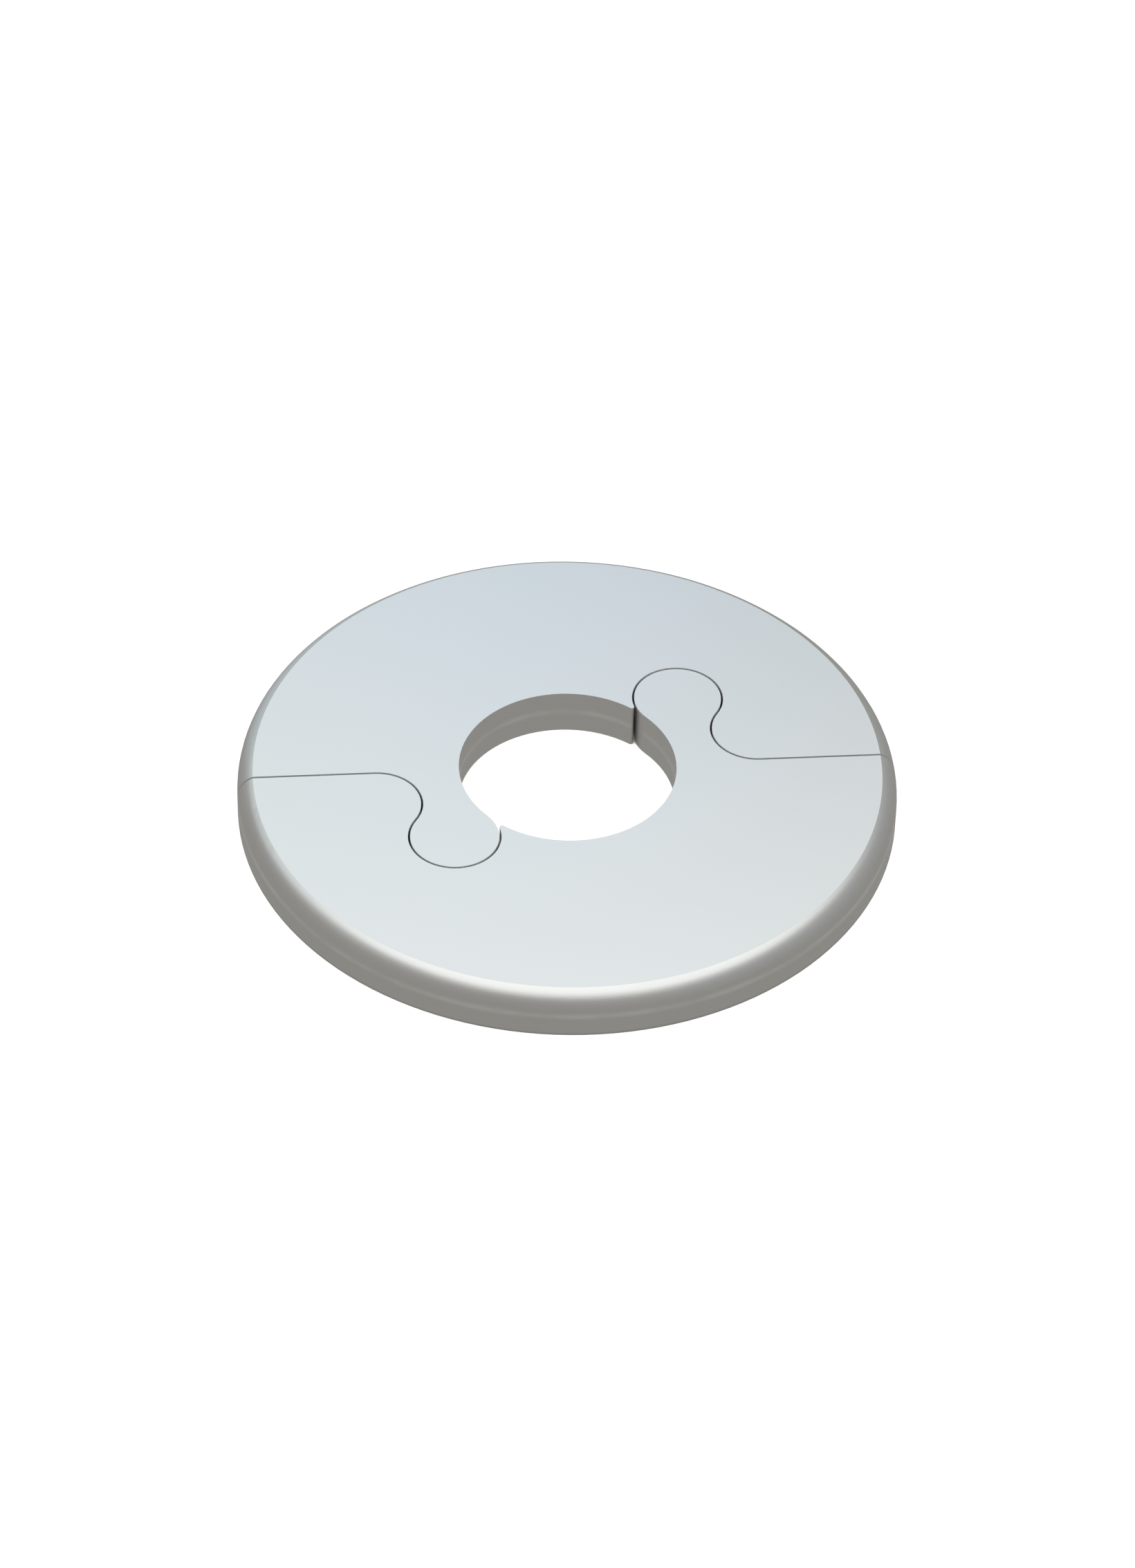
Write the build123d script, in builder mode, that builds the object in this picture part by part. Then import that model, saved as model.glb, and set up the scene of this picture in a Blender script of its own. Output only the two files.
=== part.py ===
from build123d import *
import math
import os

# Split pipe rosette: a flat round plate with a rounded outer edge and a plain bore for the pipe.
# The show face is cut flat after the edge is rounded, so a crisp edge runs round the flat.
# A seam cuts the plate into equal halves, each the other one turned by half a turn about the pipe.
# On both sides of the bore the seam runs straight in from the rim, bends round a shoulder and
# loops round a tab, so the halves can't be pulled apart sideways. They slide apart along the pipe.
# Frame: Z is the pipe axis, the back face lies on Z = 0, the straight runs of the seam lie along X.

# Driving dimensions, in millimetres and degrees
outer_diameter = 54.0
bore_diameter = 17.8
plate_thickness = 4.0
edge_radius = 2.2  # rounding of the outer edge, from the rim up to the show face
facing_depth = 0.2  # taken off the show face after the edge is rounded
tab_radius = 3.6  # round head of a tab, tangent to the bore
tab_angle = 39.0  # from the straight run of the seam to the tab's centre, seen from the pipe axis
shoulder_radius = 3.6  # round shoulder that the seam bends over, on the half that holds the tab
seam_gap = 0.18  # clearance between the halves, even along the whole seam
tip_radius = 0.2  # blunted tip where the half that holds the tab thins out beside the bore

# The plate
pipe_axis = Vector(0, 0)
outer_radius = outer_diameter / 2
bore_radius = bore_diameter / 2
blank_thickness = plate_thickness + facing_depth

# The seam's straight runs: the edge of a half stands half the gap off the X axis
half_gap = seam_gap / 2
rim_angle = math.degrees(math.asin(half_gap / outer_radius))

# The tab of a half and the socket for the other half's tab, on opposite sides of the pipe axis
socket_radius = tab_radius + seam_gap
socket_centre = Vector(bore_radius + tab_radius, 0).rotate(Axis.Z, tab_angle)
tab_centre = -socket_centre

# The shoulder, tangent to the straight run and to the socket, and the neck that runs round the
# other half's shoulder. A neck is tangent to its own tab in the same way.
neck_radius = shoulder_radius + seam_gap
shoulder_height = half_gap + shoulder_radius
centre_spacing = shoulder_radius + socket_radius
shoulder_run = math.sqrt(centre_spacing**2 - (socket_centre.Y - shoulder_height) ** 2)
shoulder_centre = Vector(socket_centre.X + shoulder_run, shoulder_height)
neck_centre = -shoulder_centre

# The blunted tip, tangent to the bore on one side and to the socket on the other
tip_reach = bore_radius + tip_radius
tip_spacing = socket_radius + tip_radius
socket_reach = socket_centre.length
tip_turn = math.acos(
    (socket_reach**2 + tip_reach**2 - tip_spacing**2) / (2 * socket_reach * tip_reach)
)
tip_angle = tab_angle + math.degrees(tip_turn)
tip_centre = Vector(tip_reach, 0).rotate(Axis.Z, tip_angle)


def bearing(start, end):
    """Direction from start to end, in degrees from the X axis."""
    return math.degrees(math.atan2(end.Y - start.Y, end.X - start.X))


def arc(centre, radius, start_angle, end_angle):
    """Arc from one angle to another, clockwise where the end angle is the smaller one."""
    return CenterArc(centre, radius, start_angle, end_angle - start_angle)


def build_half(label, plane):
    """One half of the rosette, drawn on the +Y side of its plane, its tab on the -X side."""
    neck_to_tab = bearing(neck_centre, tab_centre)
    tip_to_socket = bearing(tip_centre, socket_centre)
    with BuildPart() as half:
        with BuildSketch(plane):
            with BuildLine():
                rim = arc(pipe_axis, outer_radius, rim_angle, 180 - rim_angle)
                neck = arc(neck_centre, neck_radius, 90, neck_to_tab)
                Line(rim @ 1, neck @ 0)
                arc(tab_centre, tab_radius, 180 + neck_to_tab, 360 + tab_angle)
                arc(pipe_axis, bore_radius, 180 + tab_angle, tip_angle)
                arc(tip_centre, tip_radius, 180 + tip_angle, 360 + tip_to_socket)
                arc(socket_centre, socket_radius, 180 + tip_to_socket, neck_to_tab)
                shoulder = arc(shoulder_centre, shoulder_radius, 180 + neck_to_tab, 270)
                Line(shoulder @ 1, rim @ 0)
            make_face()
        extrude(amount=blank_thickness)
        upper_arcs = half.edges().filter_by(GeomType.CIRCLE).group_by(Axis.Z)[-1]
        fillet(upper_arcs.sort_by(SortBy.RADIUS)[-1], radius=edge_radius)
        split(bisect_by=Plane.XY.offset(plate_thickness), keep=Keep.BOTTOM)
    half.part.label = label
    export_step(half.part, f"parts/{label}.step")


os.makedirs("parts", exist_ok=True)
build_half("rear_half", Plane.XY)
build_half("front_half", Plane.XY.rotated((0, 0, 180)))
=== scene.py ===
# %% [markdown]
# This lesson dresses a split pipe rosette: a flat round plate of satin aluminium in two halves,
# which lock round a heating pipe and cover the hole that it comes out of. Both halves could be
# modelled here again as meshes. The imported model already has every curve of them, though, so it is
# loaded as a fixed frame, and the work goes into finish, light and camera.

# %% Load the two halves
import math

import bpy
import numpy as np
from mathutils import Matrix, Vector

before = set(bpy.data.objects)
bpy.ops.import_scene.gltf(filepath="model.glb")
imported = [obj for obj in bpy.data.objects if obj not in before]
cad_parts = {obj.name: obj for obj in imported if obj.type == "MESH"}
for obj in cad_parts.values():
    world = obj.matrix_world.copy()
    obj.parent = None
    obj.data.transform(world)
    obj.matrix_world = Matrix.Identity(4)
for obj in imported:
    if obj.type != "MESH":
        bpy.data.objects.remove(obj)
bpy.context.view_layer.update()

# %% [markdown]
# The finish changes from one face of the plate to the next: the show face looks blasted, the rim
# and the bore look turned, and the seam is a fine dark line. So the material needs the plate's main
# sizes. They could be typed in, but then they would go wrong when the model changes. Here all
# vertices are read into one numpy array, and the sizes follow from each vertex's height and radius.

# %% Measure the plate
MM_PER_M = 1000.0


def vertices_of(piece):
    """Every vertex of a piece as one array, with a row of x, y and z for each, in millimetres."""
    flat = np.empty(3 * len(piece.data.vertices))
    piece.data.vertices.foreach_get("co", flat)
    return flat.reshape(-1, 3) * MM_PER_M


points = np.vstack([vertices_of(half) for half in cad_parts.values()])
radii = np.hypot(points[:, 0], points[:, 1])
plate_thickness = float(points[:, 2].max())
outer_radius = float(radii.max())
bore_radius = float(radii.min())
print(f"plate {plate_thickness:.2f} thick, {2 * outer_radius:.2f} across, in millimetres")
print(f"bore {2 * bore_radius:.2f} across")

# %% [markdown]
# The edge is rounded from the top of the upright rim to where the flat of the show face begins.
# Its radius isn't in the vertices, but both ends of the rounding are. An arc that starts upright
# and runs so far inwards and so far up has just one radius, so two more measures are enough.

# %% Measure the rounded edge
SAME_PLACE = 0.001  # millimetres

flat_radius = float(radii[points[:, 2] > plate_thickness - SAME_PLACE].max())
rim_height = float(points[radii > outer_radius - SAME_PLACE, 2].max())
edge_run = outer_radius - flat_radius
edge_rise = plate_thickness - rim_height
edge_radius = (edge_run**2 + edge_rise**2) / (2 * edge_run)
print(f"rim upright to {rim_height:.2f}, then rounded by {edge_radius:.2f}")
print(f"flat {2 * flat_radius:.2f} across")

# %% [markdown]
# A procedural material is a graph of small nodes. Each node could be added and linked by hand,
# which takes five or six lines a time and hides the idea. A small bench does it in one call per
# step instead: add a node, feed a socket, calculate, fade from 0 to 1, or make a random pattern.

# %% A bench for building node graphs
class Bench:
    """A node tree on the work bench, with a short call for each kind of step."""

    def __init__(self, tree):
        self.tree = tree
        tree.nodes.clear()

    def add(self, kind, **settings):
        """A new node of this kind, with its own settings, such as an operation."""
        made = self.tree.nodes.new("ShaderNode" + kind)
        for name, value in settings.items():
            setattr(made, name, value)
        return made

    def feed(self, socket, value):
        """A value for a socket: another node's output as a link, a number or colour as it is."""
        if isinstance(value, bpy.types.NodeSocket):
            self.tree.links.new(value, socket)
        else:
            socket.default_value = value

    def calc(self, operation, *values):
        """One step of arithmetic on one, two or three values."""
        made = self.add("Math", operation=operation)
        for socket, value in zip(made.inputs, values):
            self.feed(socket, value)
        return made.outputs["Value"]

    def fade(self, value, start, end):
        """0 up to start, 1 from end on, and a smooth step between. It falls if end is the lower."""
        made = self.add("MapRange", interpolation_type="SMOOTHSTEP")
        self.feed(made.inputs["Value"], value)
        self.feed(made.inputs["From Min"], start)
        self.feed(made.inputs["From Max"], end)
        return made.outputs["Result"]

    def stretch(self, place, factors):
        """A place with its x, y and z each multiplied by a factor of its own."""
        made = self.add("VectorMath", operation="MULTIPLY")
        self.feed(made.inputs[0], place)
        self.feed(made.inputs[1], factors)
        return made.outputs["Vector"]

    def noise(self, place, waves, detail=2.0):
        """A random pattern from -1 to 1 with about so many waves in a millimetre."""
        made = self.add("TexNoise")
        self.feed(made.inputs["Vector"], place)
        self.feed(made.inputs["Scale"], waves)
        self.feed(made.inputs["Detail"], detail)
        return self.calc("MULTIPLY_ADD", made.outputs["Fac"], 2.0, -1.0)


satin = bpy.data.materials.new("satin_aluminium")
satin.use_nodes = True
bench = Bench(satin.node_tree)
print("bench ready for", satin.name)

# %% [markdown]
# Every pattern on the plate depends on where a point lies: its height above the back and its
# distance from the pipe's axis. Texture coordinates of kind Object give a point in the piece's own
# frame, in metres, so a pattern stays on the half when it slides. They are turned to millimetres
# first, since a grain of 0.2 is easier to think about than one of 0.0002.

# %% Where a point lies on the plate
in_millimetres = bench.add("VectorMath", operation="SCALE")
bench.feed(in_millimetres.inputs["Vector"], bench.add("TexCoord").outputs["Object"])
bench.feed(in_millimetres.inputs["Scale"], MM_PER_M)
place = in_millimetres.outputs["Vector"]

split_place = bench.add("SeparateXYZ")
bench.feed(split_place.inputs["Vector"], place)
height = split_place.outputs["Z"]

ACROSS_ONLY = (1.0, 1.0, 0.0)  # what is left of a place without its height
from_axis = bench.add("VectorMath", operation="LENGTH")
bench.feed(from_axis.inputs["Vector"], bench.stretch(place, ACROSS_ONLY))
radius = from_axis.outputs["Value"]
print("place, height and radius are ready, with", len(satin.node_tree.nodes), "nodes so far")

# %% [markdown]
# Next the material has to know which face it is on. Faces could get a material each, but a packed
# half has one slot for its one metal. So a mask is worked out for each face, 1 on it and 0 off it.
# The show face is where the height is the plate's own. The rounded edge and the rim share a rule:
# measured from the circle at the centre of the rounding, both lie one edge radius out. What is
# neither lies inside, and is bore, seam or back.

# %% A mask for each face
FACE_EDGE = 0.02  # how far, in millimetres, a mask takes to change from 0 to 1
RIM_DEPTH = 0.6  # the rim's turned rings fade out where the rounding has run in this far

past_circle = bench.calc("MAXIMUM", bench.calc("SUBTRACT", radius, outer_radius - edge_radius), 0.0)
above_circle = bench.calc("MAXIMUM", bench.calc("SUBTRACT", height, rim_height), 0.0)
past_squared = bench.calc("POWER", past_circle, 2.0)
above_squared = bench.calc("POWER", above_circle, 2.0)
from_circle = bench.calc("SQRT", bench.calc("ADD", past_squared, above_squared))

on_edge = bench.fade(from_circle, edge_radius - 2 * FACE_EDGE, edge_radius - FACE_EDGE)
on_show_face = bench.fade(height, plate_thickness - 2 * FACE_EDGE, plate_thickness - FACE_EDGE)
inside = bench.calc("SUBTRACT", 1.0, bench.calc("MAXIMUM", on_edge, on_show_face))

on_bore = bench.fade(radius, bore_radius + 2 * FACE_EDGE, bore_radius + FACE_EDGE)
on_back = bench.fade(height, 2 * FACE_EDGE, FACE_EDGE)
off_bore = bench.calc("SUBTRACT", 1.0, on_bore)
off_back = bench.calc("SUBTRACT", 1.0, on_back)
on_seam = bench.calc("MULTIPLY", inside, bench.calc("MULTIPLY", off_bore, off_back))
on_rim = bench.calc("MULTIPLY", on_edge, bench.fade(radius, outer_radius - RIM_DEPTH, outer_radius))
print("masks: edge, show face, bore, back, seam and rim")

# %% [markdown]
# The show face of the real plate is a silky, even grey, as if it had been blasted with fine beads
# and then anodised. Grain like this could be an image, but an image would blur up close. A random
# pattern of about five waves to the millimetre stays sharp at any distance. A second, much broader
# pattern lets the tone and the gloss drift by about one percent, as no real sheet is quite even.

# %% Blasted grain and a slow drift of tone
GRAIN_WAVES = 5.0  # in a millimetre
GRAIN_DETAIL = 3.0  # how many finer patterns are laid over the first
GRAIN_DEPTH = 0.0008  # millimetres
GRAIN_TONE = 0.010  # how far the grain moves the share of light that is thrown back
GRAIN_ROUGHNESS = 0.02
DRIFT_WAVES = 0.06
DRIFT_TONE = 0.012
DRIFT_ROUGHNESS = 0.015

grain = bench.noise(place, GRAIN_WAVES, GRAIN_DETAIL)
drift = bench.noise(place, DRIFT_WAVES)
print(f"grain of {1 / GRAIN_WAVES:.2f} mm, drift of {1 / DRIFT_WAVES:.0f} mm")

# %% [markdown]
# The rim and the bore look turned. Turning leaves very fine rings, and half way up there is a wider
# and paler one, as if one cut had met the next there. At its foot the rim gets a thin band of
# painted shade, where it meets the table. Rings could be modelled as grooves, but grooves so shallow
# would only swell the mesh. A random pattern that is drawn out fifty times across the pipe's axis,
# and not at all along it, gives the fine ones. The pale ring is a smooth bump of height, and a slow
# random pattern makes it stronger and weaker on its way round, as it is in the photograph. The
# painted shade at the foot is a short fade.

# %% Turned rings on the rim and in the bore
RING_WAVES = 9.0
RING_DEPTH = 0.0006
RING_TONE = 0.020
RING_ALONG = (0.02, 0.02, 1.0)  # drawn out across the axis, full measure along it
PALE_RING_HALF = 0.46  # half the width of the pale ring, in millimetres
PALE_RING_TONE = 0.17
PALE_RING_ROUGHNESS = 0.10
PALE_RING_WAVES = 0.25  # in a millimetre, how soon the pale ring changes on its way round
PALE_RING_LEAST = 0.35  # its strength where it is weakest
PALE_RING_SWING = (-0.4, 0.4)  # where the random pattern leaves it weakest, and where it is full
EDGE_ROUGHNESS = 0.05  # how much rougher the rounded edge and the rim are than the show face
# painted shade at the rim's foot, where it meets the table
FOOT_SHADE_TOP = 0.30  # millimetres above the back face
FOOT_SHADE_TONE = -0.25

on_turned = bench.calc("MAXIMUM", on_rim, on_bore)
rings = bench.calc("MULTIPLY", bench.noise(bench.stretch(place, RING_ALONG), RING_WAVES), on_turned)

off_middle = bench.calc("ABSOLUTE", bench.calc("SUBTRACT", height, rim_height))
even_ring = bench.calc("MULTIPLY", bench.fade(off_middle, PALE_RING_HALF, 0.0), on_turned)
ring_change = bench.fade(bench.noise(place, PALE_RING_WAVES), *PALE_RING_SWING)
ring_strength = bench.calc("MULTIPLY_ADD", ring_change, 1 - PALE_RING_LEAST, PALE_RING_LEAST)
pale_ring = bench.calc("MULTIPLY", even_ring, ring_strength)
# painted shade: the rim darkens towards its foot, where it meets the table
painted_foot_shade = bench.calc("MULTIPLY", bench.fade(height, FOOT_SHADE_TOP, 0.0), on_rim)
print(f"pale ring {PALE_RING_HALF:.2f} mm wide at half strength, at a height of {rim_height:.2f} mm")

# %% [markdown]
# The walls of the seam show only as a thin line, until the halves slide apart. They are made as if
# cut with a wire: fine upright lines on a dull, matt surface. In the photograph the line is grey
# where it runs across the view and nearly black where it runs along it. So the walls get painted
# shade, darker deep in the gap, and their lips get painted light, where light reaches a little way
# in. The lips could be modelled as tiny chamfers, but they are only a tone, so a mask of how deep a
# point lies under the skin gives them.

# %% Wire-cut seam, with painted shade in the gap and painted light on its lips
WIRE_WAVES = 7.0
WIRE_DEPTH = 0.004
WIRE_TONE = 0.05
WIRE_ALONG = (1.0, 1.0, 0.03)  # drawn out upright
# painted shade: the seam's walls are darker, as deep in a narrow gap
PAINTED_SEAM_SHADE = -0.30
SEAM_ROUGHNESS = 0.27
LIP_DEPTH = 0.34  # how far in, in millimetres, the lips fade out
# painted light on the lips, where light reaches a little way into the gap
LIP_PAINTED_LIGHT = 0.50
LIP_ROUGHNESS = 0.25
LIP_IN_BORE = 0.55  # how strong the lips are along the bore, beside those along the top

wire_lines = bench.calc("MULTIPLY", bench.noise(bench.stretch(place, WIRE_ALONG), WIRE_WAVES), on_seam)

under_face = bench.calc("SUBTRACT", plate_thickness, height)
under_edge = bench.calc("SUBTRACT", edge_radius, from_circle)
behind_bore = bench.calc("SUBTRACT", radius, bore_radius)
# painted light along the lips of the seam, at the top and along the bore, fading out deeper in
upper_lip_light = bench.fade(bench.calc("MINIMUM", under_face, under_edge), LIP_DEPTH, 0.0)
bore_lip_light = bench.calc("MULTIPLY", bench.fade(behind_bore, LIP_DEPTH, 0.0), LIP_IN_BORE)
seam_lip_light = bench.calc("MULTIPLY", bench.calc("MAXIMUM", upper_lip_light, bore_lip_light), on_seam)
print(f"upright lines on the seam, pale lips {LIP_DEPTH:.2f} mm deep")

# %% [markdown]
# The back of the rosette lies against the wall or floor, and the photograph doesn't show it. It
# could be left as smooth as the model is, but bare metal never is. It gets the faint straight lines
# of rolled sheet: the random pattern again, drawn out along X.

# %% Rolled back
ROLL_WAVES = 3.0
ROLL_DEPTH = 0.0012
ROLL_TONE = 0.02
ROLL_ALONG = (0.02, 1.0, 1.0)
BACK_ROUGHNESS = -0.06

roll_lines = bench.calc("MULTIPLY", bench.noise(bench.stretch(place, ROLL_ALONG), ROLL_WAVES), on_back)
print(f"roll lines {1 / ROLL_WAVES:.2f} mm apart on the back")

# %% [markdown]
# Now the patterns come together. Each of them moves the share of light that the metal throws back,
# its roughness or its relief a little. One long chain of nodes could carry all three. Three sums
# are kept apart instead, so that each can be tuned against the photograph by itself.

# %% Add the patterns up
METAL_ROUGHNESS = 0.33


def weighted_sum(start, *patterns):
    """A number, plus each pattern times its own weight."""
    result = start
    for pattern, weight in patterns:
        result = bench.calc("MULTIPLY_ADD", pattern, weight, result)
    return result


# the foot, seam and lip tones in this sum are painted shade and painted light
brightness = weighted_sum(
    1.0,
    (drift, DRIFT_TONE),
    (grain, GRAIN_TONE),
    (rings, RING_TONE),
    (pale_ring, PALE_RING_TONE),
    (painted_foot_shade, FOOT_SHADE_TONE),
    (wire_lines, WIRE_TONE),
    (on_seam, PAINTED_SEAM_SHADE),
    (seam_lip_light, LIP_PAINTED_LIGHT),
    (roll_lines, ROLL_TONE),
)
roughness = weighted_sum(
    METAL_ROUGHNESS,
    (drift, DRIFT_ROUGHNESS),
    (grain, GRAIN_ROUGHNESS),
    (on_edge, EDGE_ROUGHNESS),
    (pale_ring, PALE_RING_ROUGHNESS),
    (on_seam, SEAM_ROUGHNESS),
    (seam_lip_light, LIP_ROUGHNESS),
    (on_back, BACK_ROUGHNESS),
)
relief = weighted_sum(
    0.0,
    (grain, GRAIN_DEPTH),
    (rings, RING_DEPTH),
    (wire_lines, WIRE_DEPTH),
    (roll_lines, ROLL_DEPTH),
)
print("three sums, with", len(satin.node_tree.nodes), "nodes so far")

# %% [markdown]
# The metal itself is one Principled shader. Paint has a colour of its own under its gloss, but a
# metal has only its reflections: its base colour is the share of light that it throws back, here
# 0.8 in red, green and blue alike. The relief could be real dents, but they are under a hundredth of
# a millimetre deep, so they only tilt the normal. What never changes is set straight on the shader.

# %% The satin aluminium itself
METAL_SHARE = (0.80, 0.80, 0.80)

metal_colour = bench.add("VectorMath", operation="SCALE")
bench.feed(metal_colour.inputs["Vector"], METAL_SHARE)
bench.feed(metal_colour.inputs["Scale"], brightness)

bump = bench.add("Bump")
bench.feed(bump.inputs["Distance"], 1 / MM_PER_M)
bench.feed(bump.inputs["Height"], relief)

metal = bench.add("BsdfPrincipled")
bench.feed(metal.inputs["Metallic"], 1.0)
bench.feed(metal.inputs["Base Color"], metal_colour.outputs["Vector"])
bench.feed(metal.inputs["Roughness"], roughness)
bench.feed(metal.inputs["Normal"], bump.outputs["Normal"])
bench.feed(bench.add("OutputMaterial").inputs["Surface"], metal.outputs["BSDF"])

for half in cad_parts.values():
    half.material_slots[0].material = satin
print(satin.name, "has", len(satin.node_tree.nodes), "nodes and dresses", sorted(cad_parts))

# %% [markdown]
# The rosette lies on a plain pale table. A flat square would end in a hard line at low views. So
# the table is one surface over a square grid: flat in the middle, and rising further out with the
# square of the distance past a circle, like a shallow bowl. It isn't part of the object. It is kept
# out of the metal's reflections, which show the darker room instead, and it neither lights the metal
# nor shades it.

# %% The table
TABLE_HALF = 2.0  # metres, half the side of the square
TABLE_LEVEL = 1.0  # radius of the flat middle
TABLE_RISE = 1.2  # how steeply it rises past that
TABLE_DROP = 0.00002  # a hair below the back face, so that the two never fight
TABLE_STEPS = 121


def table_surface(half_side, level_radius, rise, drop, steps):
    """A surface of x and y: z is rise times the squared distance past level_radius, less drop."""
    side = np.linspace(-half_side, half_side, steps)
    x, y = np.meshgrid(side, side)
    beyond = np.maximum(np.hypot(x, y) - level_radius, 0.0)
    return np.stack([x, y, rise * beyond**2 - drop], axis=-1)


def grid_mesh(name, surface):
    """A mesh of squares over a grid of points. They face up if x grows in a row and y from row to row."""
    rows, columns = surface.shape[:2]
    number = np.arange(rows * columns).reshape(rows, columns)
    corners = [number[:-1, :-1], number[:-1, 1:], number[1:, 1:], number[1:, :-1]]
    squares = np.stack(corners, axis=-1).reshape(-1, 4)
    mesh = bpy.data.meshes.new(name)
    mesh.from_pydata(surface.reshape(-1, 3).tolist(), [], squares.tolist())
    mesh.shade_smooth()
    return mesh


table_points = table_surface(TABLE_HALF, TABLE_LEVEL, TABLE_RISE, TABLE_DROP, TABLE_STEPS)
table = bpy.data.objects.new("table", grid_mesh("table", table_points))
bpy.context.scene.collection.objects.link(table)
table.visible_glossy = False
table.visible_diffuse = False
table.visible_shadow = False
print("table of", len(table.data.polygons), "squares")

# %% [markdown]
# Next to no shadow shows round the rosette in the photograph. More lamps could drown the shadow,
# but they would show in the metal. So the table glows a little by itself. The glow alone would also
# shine up through the seam, where in truth hardly any light gets in. A node for ambient occlusion
# feels for walls close by, and puts the glow out where there are walls on all sides.

# %% The table's finish
TABLE_SHARE = (0.50, 0.50, 0.50, 1.0)
TABLE_ROUGHNESS = 1.0
TABLE_GLOSS = 0.0
TABLE_GLOW = 0.76
TABLE_GLOW_COLOUR = (1.0, 1.0, 1.0, 1.0)
FEELER_REACH = 0.002  # metres round a point
FEELER_RAYS = 8
OPEN_SHARE = (0.12, 0.40)  # how open a place is where the glow starts, and where it is full

table_white = bpy.data.materials.new("table_white")
table_white.use_nodes = True
table_bench = Bench(table_white.node_tree)

feeler = table_bench.add("AmbientOcclusion", samples=FEELER_RAYS)
table_bench.feed(feeler.inputs["Distance"], FEELER_REACH)
in_the_open = table_bench.fade(feeler.outputs["AO"], *OPEN_SHARE)
table_glow = table_bench.calc("MULTIPLY", in_the_open, TABLE_GLOW)

table_shader = table_bench.add("BsdfPrincipled")
table_bench.feed(table_shader.inputs["Base Color"], TABLE_SHARE)
table_bench.feed(table_shader.inputs["Roughness"], TABLE_ROUGHNESS)
table_bench.feed(table_shader.inputs["Specular IOR Level"], TABLE_GLOSS)
table_bench.feed(table_shader.inputs["Emission Color"], TABLE_GLOW_COLOUR)
table_bench.feed(table_shader.inputs["Emission Strength"], table_glow)
table_bench.feed(table_bench.add("OutputMaterial").inputs["Surface"], table_shader.outputs["BSDF"])
table.data.materials.append(table_white)
print("table glows at", TABLE_GLOW)

# %% [markdown]
# The studio stands square to the camera, and the rosette lies in it turned by a few degrees. The
# directions of lights could be typed in as vectors, but an angle to the right or left of straight
# back is easier to think about. So one helper turns such an angle into a direction.

# %% Directions in the studio
STUDIO_TURN = math.radians(-5.26)  # about the pipe's axis, from the seam's frame to the studio's


def studio_direction(side):
    """A level direction: straight back in the studio, turned to the right by an angle."""
    return Matrix.Rotation(STUDIO_TURN - side, 3, "Z") @ Vector((0.0, 1.0, 0.0))


print("straight back in the studio is", tuple(studio_direction(0.0)))

# %% [markdown]
# Metal is only as good as what it reflects, and what it doesn't reflect of the lights is the room.
# The rim and the bore show the ground as a warm mid grey, the rest of the edge a cooler grey, and
# the far left of the rounding something paler, low behind, like a window. The room could be built,
# but it is only ever seen blurred in the metal. So the world's colour is a function of direction:
# ground below the horizon, air above it that cools from one side to the other, and one pale spot.

# %% The room round the table
ROOM_GROUND = (0.313, 0.304, 0.282, 1.0)
ROOM_WARM = (0.314, 0.301, 0.281, 1.0)
ROOM_COOL = (0.339, 0.347, 0.340, 1.0)
ROOM_WINDOW = (0.480, 0.545, 0.570, 1.0)
COOL_SIDE = math.radians(60)  # to the right of straight back
WINDOW_SIDE = math.radians(-25)
WINDOW_RADII = (math.radians(24), math.radians(8))  # where the pale spot starts, and where it is full
AIR_CHANGE = (-0.6, 0.6)  # cosines to the cool side where the air starts to cool, and where it is cool
HORIZON = (-0.05, 0.05)  # rise of the outlook where the ground ends, and where the air is full

room = bpy.data.worlds.new("room")
room.use_nodes = True
room_bench = Bench(room.node_tree)
outlook = room_bench.add("TexCoord").outputs["Generated"]
climb = room_bench.add("SeparateXYZ")
room_bench.feed(climb.inputs["Vector"], outlook)


def along(side):
    """How far the way that is looked at agrees with a level direction: the cosine of the angle."""
    made = room_bench.add("VectorMath", operation="DOT_PRODUCT")
    room_bench.feed(made.inputs[0], outlook)
    room_bench.feed(made.inputs[1], studio_direction(side))
    return made.outputs["Value"]


def blend_colours(any_bench, factor, first, second):
    """The first colour where the factor is 0, the second where it is 1."""
    made = any_bench.add("MixRGB")
    any_bench.feed(made.inputs["Fac"], factor)
    any_bench.feed(made.inputs["Color1"], first)
    any_bench.feed(made.inputs["Color2"], second)
    return made.outputs["Color"]


cooling = room_bench.fade(along(COOL_SIDE), *AIR_CHANGE)
air = blend_colours(room_bench, cooling, ROOM_WARM, ROOM_COOL)
upwards = room_bench.fade(climb.outputs["Z"], *HORIZON)
ground_and_air = blend_colours(room_bench, upwards, ROOM_GROUND, air)
in_window = room_bench.fade(along(WINDOW_SIDE), *[math.cos(angle) for angle in WINDOW_RADII])
whole_room = blend_colours(room_bench, in_window, ground_and_air, ROOM_WINDOW)

backdrop = room_bench.add("Background")
room_bench.feed(backdrop.inputs["Color"], whole_room)
room_bench.feed(room_bench.add("OutputWorld").inputs["Surface"], backdrop.outputs["Background"])
bpy.context.scene.world = room
bpy.context.scene.view_settings.view_transform = "Standard"
print("room with", len(room.node_tree.nodes), "nodes")

# %% [markdown]
# In the photograph the show face seems to mirror a broad, soft light overhead, and the bright line
# along the near edge looks like the same light, seen in the rounding. A plain area light has one
# even tone up to a sharp border, but the tone of the show face drifts. So the light is a flat sheet
# of cloth, whose glow can have a pattern. It is stage too, and the camera doesn't see it.

# %% The diffuser overhead
SHEET_HEIGHT = 0.30  # metres above the table
SHEET_SIDE = 0.60  # from the middle to the right or left edge
SHEET_FRONT, SHEET_BACK = -0.45, 0.75
SHEET_STEPS = 2  # points along each side, since a flat sheet needs only its corners


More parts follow.
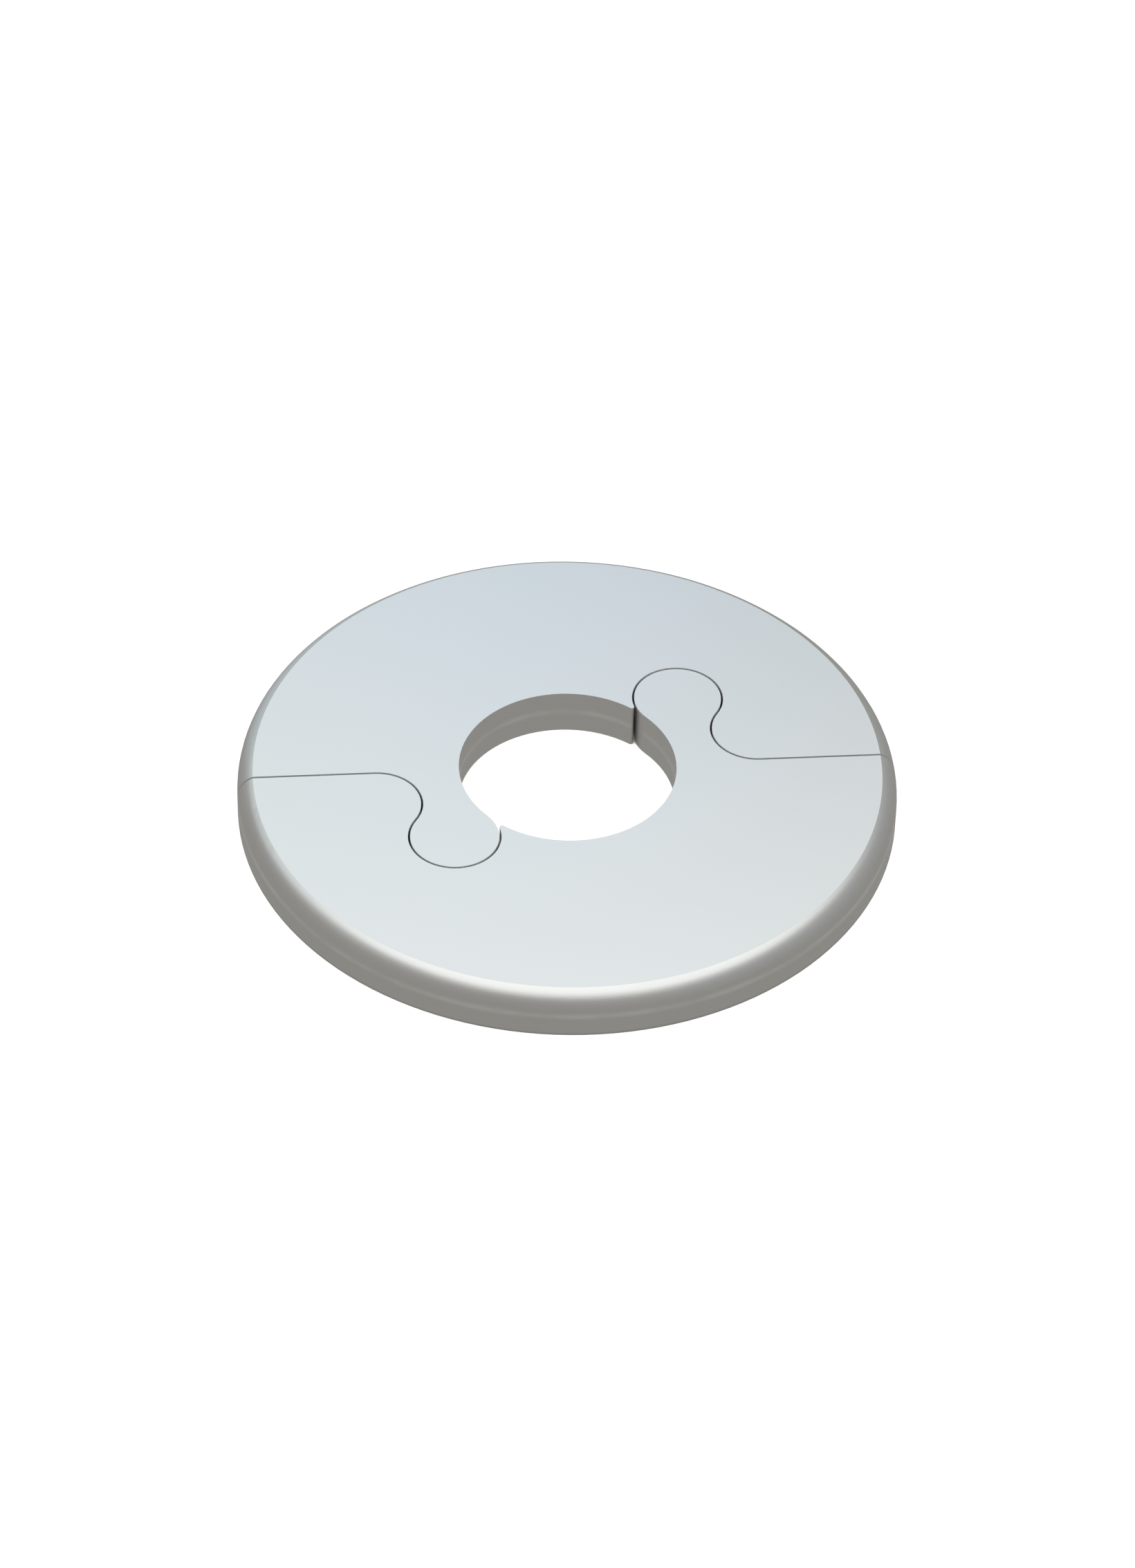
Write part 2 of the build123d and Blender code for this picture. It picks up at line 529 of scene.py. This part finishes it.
def sheet_surface(side, front, back, steps):
    """A flat sheet over x and y at a height of zero. It faces down because x runs from right to left."""
    x, y = np.meshgrid(np.linspace(side, -side, steps), np.linspace(front, back, steps))
    return np.stack([x, y, np.zeros_like(x)], axis=-1)


sheet_points = sheet_surface(SHEET_SIDE, SHEET_FRONT, SHEET_BACK, SHEET_STEPS)
sheet = bpy.data.objects.new("diffuser", grid_mesh("diffuser", sheet_points))
sheet.matrix_world = Matrix.Rotation(STUDIO_TURN, 4, "Z") @ Matrix.Translation((0.0, 0.0, SHEET_HEIGHT))
sheet.visible_camera = False
bpy.context.scene.collection.objects.link(sheet)
print(f"diffuser of {2 * SHEET_SIDE:.2f} by {SHEET_BACK - SHEET_FRONT:.2f} m")

# %% [markdown]
# The glow could come from several lamps, but their borders would show in the metal. Here it is made
# of masks, as the metal's patterns are: a round glow that fades outwards, softly behind and more
# crisply in front, and a weaker one that grows towards the back, on the left only, and is cool
# along its right border. Where neither glows the cloth is see-through. Its nodes read the sheet's
# own Object coordinates.

# %% The diffuser's glow
GLOW_MIDDLE = (1.230, 1.244, 1.209, 1.0)
GLOW_BACK = (0.730, 0.808, 0.804, 1.0)
GLOW_BORDER = (0.515, 0.720, 0.930, 1.0)
MIDDLE_PLACE = (0.029, 0.0, 0.0)  # centre of the round glow on the sheet, in metres
MIDDLE_RADII = (0.439, 0.194)  # where the round glow starts, and where it is full
FRONT_RADII = (0.395, 0.295)  # the same in the front part, which ends in a crisper border
FRONT_CHANGE = (0.02, -0.10)  # towards the front, from the one border to the other
BACK_RIGHT = (0.088, -0.005)  # across, the same for the glow behind
BACK_START = (-0.385, 0.390)  # towards the back
BORDER_CHANGE = (-0.095, -0.014)  # across, from its own tone to that of the border


def glowing(colour):
    """A cloth that gives off this colour."""
    made = cloth_bench.add("Emission")
    cloth_bench.feed(made.inputs["Color"], colour)
    return made.outputs["Emission"]


def lay_over(mask, below, above):
    """The cloth below where the mask is 0, the cloth above where it is 1."""
    made = cloth_bench.add("MixShader")
    cloth_bench.feed(made.inputs[0], mask)
    cloth_bench.feed(made.inputs[1], below)
    cloth_bench.feed(made.inputs[2], above)
    return made.outputs["Shader"]


cloth = bpy.data.materials.new("diffuser_cloth")
cloth.use_nodes = True
cloth_bench = Bench(cloth.node_tree)
on_sheet = cloth_bench.add("TexCoord").outputs["Object"]
across_sheet = cloth_bench.add("SeparateXYZ")
cloth_bench.feed(across_sheet.inputs["Vector"], on_sheet)

left_part = cloth_bench.fade(across_sheet.outputs["X"], *BACK_RIGHT)
rear_part = cloth_bench.fade(across_sheet.outputs["Y"], *BACK_START)
behind = cloth_bench.calc("MULTIPLY", left_part, rear_part)
at_border = cloth_bench.fade(across_sheet.outputs["X"], *BORDER_CHANGE)
back_tone = blend_colours(cloth_bench, at_border, GLOW_BACK, GLOW_BORDER)

from_middle = cloth_bench.add("VectorMath", operation="DISTANCE")
cloth_bench.feed(from_middle.inputs[0], on_sheet)
cloth_bench.feed(from_middle.inputs[1], MIDDLE_PLACE)
soft_part = cloth_bench.fade(from_middle.outputs["Value"], *MIDDLE_RADII)
crisp_part = cloth_bench.fade(from_middle.outputs["Value"], *FRONT_RADII)
in_front = cloth_bench.fade(across_sheet.outputs["Y"], *FRONT_CHANGE)
crisper = cloth_bench.calc("SUBTRACT", crisp_part, soft_part)
middle_part = cloth_bench.calc("MULTIPLY_ADD", in_front, crisper, soft_part)

clear = cloth_bench.add("BsdfTransparent").outputs["BSDF"]
back_glow = lay_over(behind, clear, glowing(back_tone))
all_glow = lay_over(middle_part, back_glow, glowing(GLOW_MIDDLE))
cloth_bench.feed(cloth_bench.add("OutputMaterial").inputs["Surface"], all_glow)
sheet.data.materials.append(cloth)
print("diffuser glows with", len(cloth.node_tree.nodes), "nodes")

# %% [markdown]
# The camera stands where the photograph was taken from. Its place was found by fitting the circles
# of the plate to the photograph: how high it looks from, how far it is turned and rolled, and where
# the middle of the bore's foot lies in the picture. It could be aimed by hand until it looks
# right, but then every comparison with the photograph would be a little off.

# %% The camera
PHOTO_WIDTH, PHOTO_HEIGHT = 1641, 2268  # pixels
FOCAL_PIXELS = 8027.0
ORIGIN_PIXEL = (819.5, 1160.0)  # where the frame's origin lies in the photograph
CAMERA_DEPTH = 0.4562  # metres from the origin along the line of sight
CAMERA_AZIMUTH = STUDIO_TURN
CAMERA_ELEVATION = math.radians(42.537)
CAMERA_ROLL = math.radians(1.443)
SENSOR = 36.0  # millimetres along the long side of the picture

camera = bpy.data.cameras.new("camera")
camera.sensor_width = SENSOR
camera.lens = SENSOR * FOCAL_PIXELS / PHOTO_HEIGHT
viewer = bpy.data.objects.new("camera", camera)
turned = (
    Matrix.Rotation(CAMERA_AZIMUTH, 4, "Z")
    @ Matrix.Rotation(math.pi / 2 - CAMERA_ELEVATION, 4, "X")
    @ Matrix.Rotation(CAMERA_ROLL, 4, "Z")
)
across = (ORIGIN_PIXEL[0] - PHOTO_WIDTH / 2) / FOCAL_PIXELS * CAMERA_DEPTH
upward = (PHOTO_HEIGHT / 2 - ORIGIN_PIXEL[1]) / FOCAL_PIXELS * CAMERA_DEPTH
viewer.matrix_world = turned @ Matrix.Translation((-across, -upward, CAMERA_DEPTH))
bpy.context.scene.collection.objects.link(viewer)
bpy.context.scene.camera = viewer
print(f"camera at {tuple(viewer.matrix_world.translation)}, lens {camera.lens:.1f} mm")
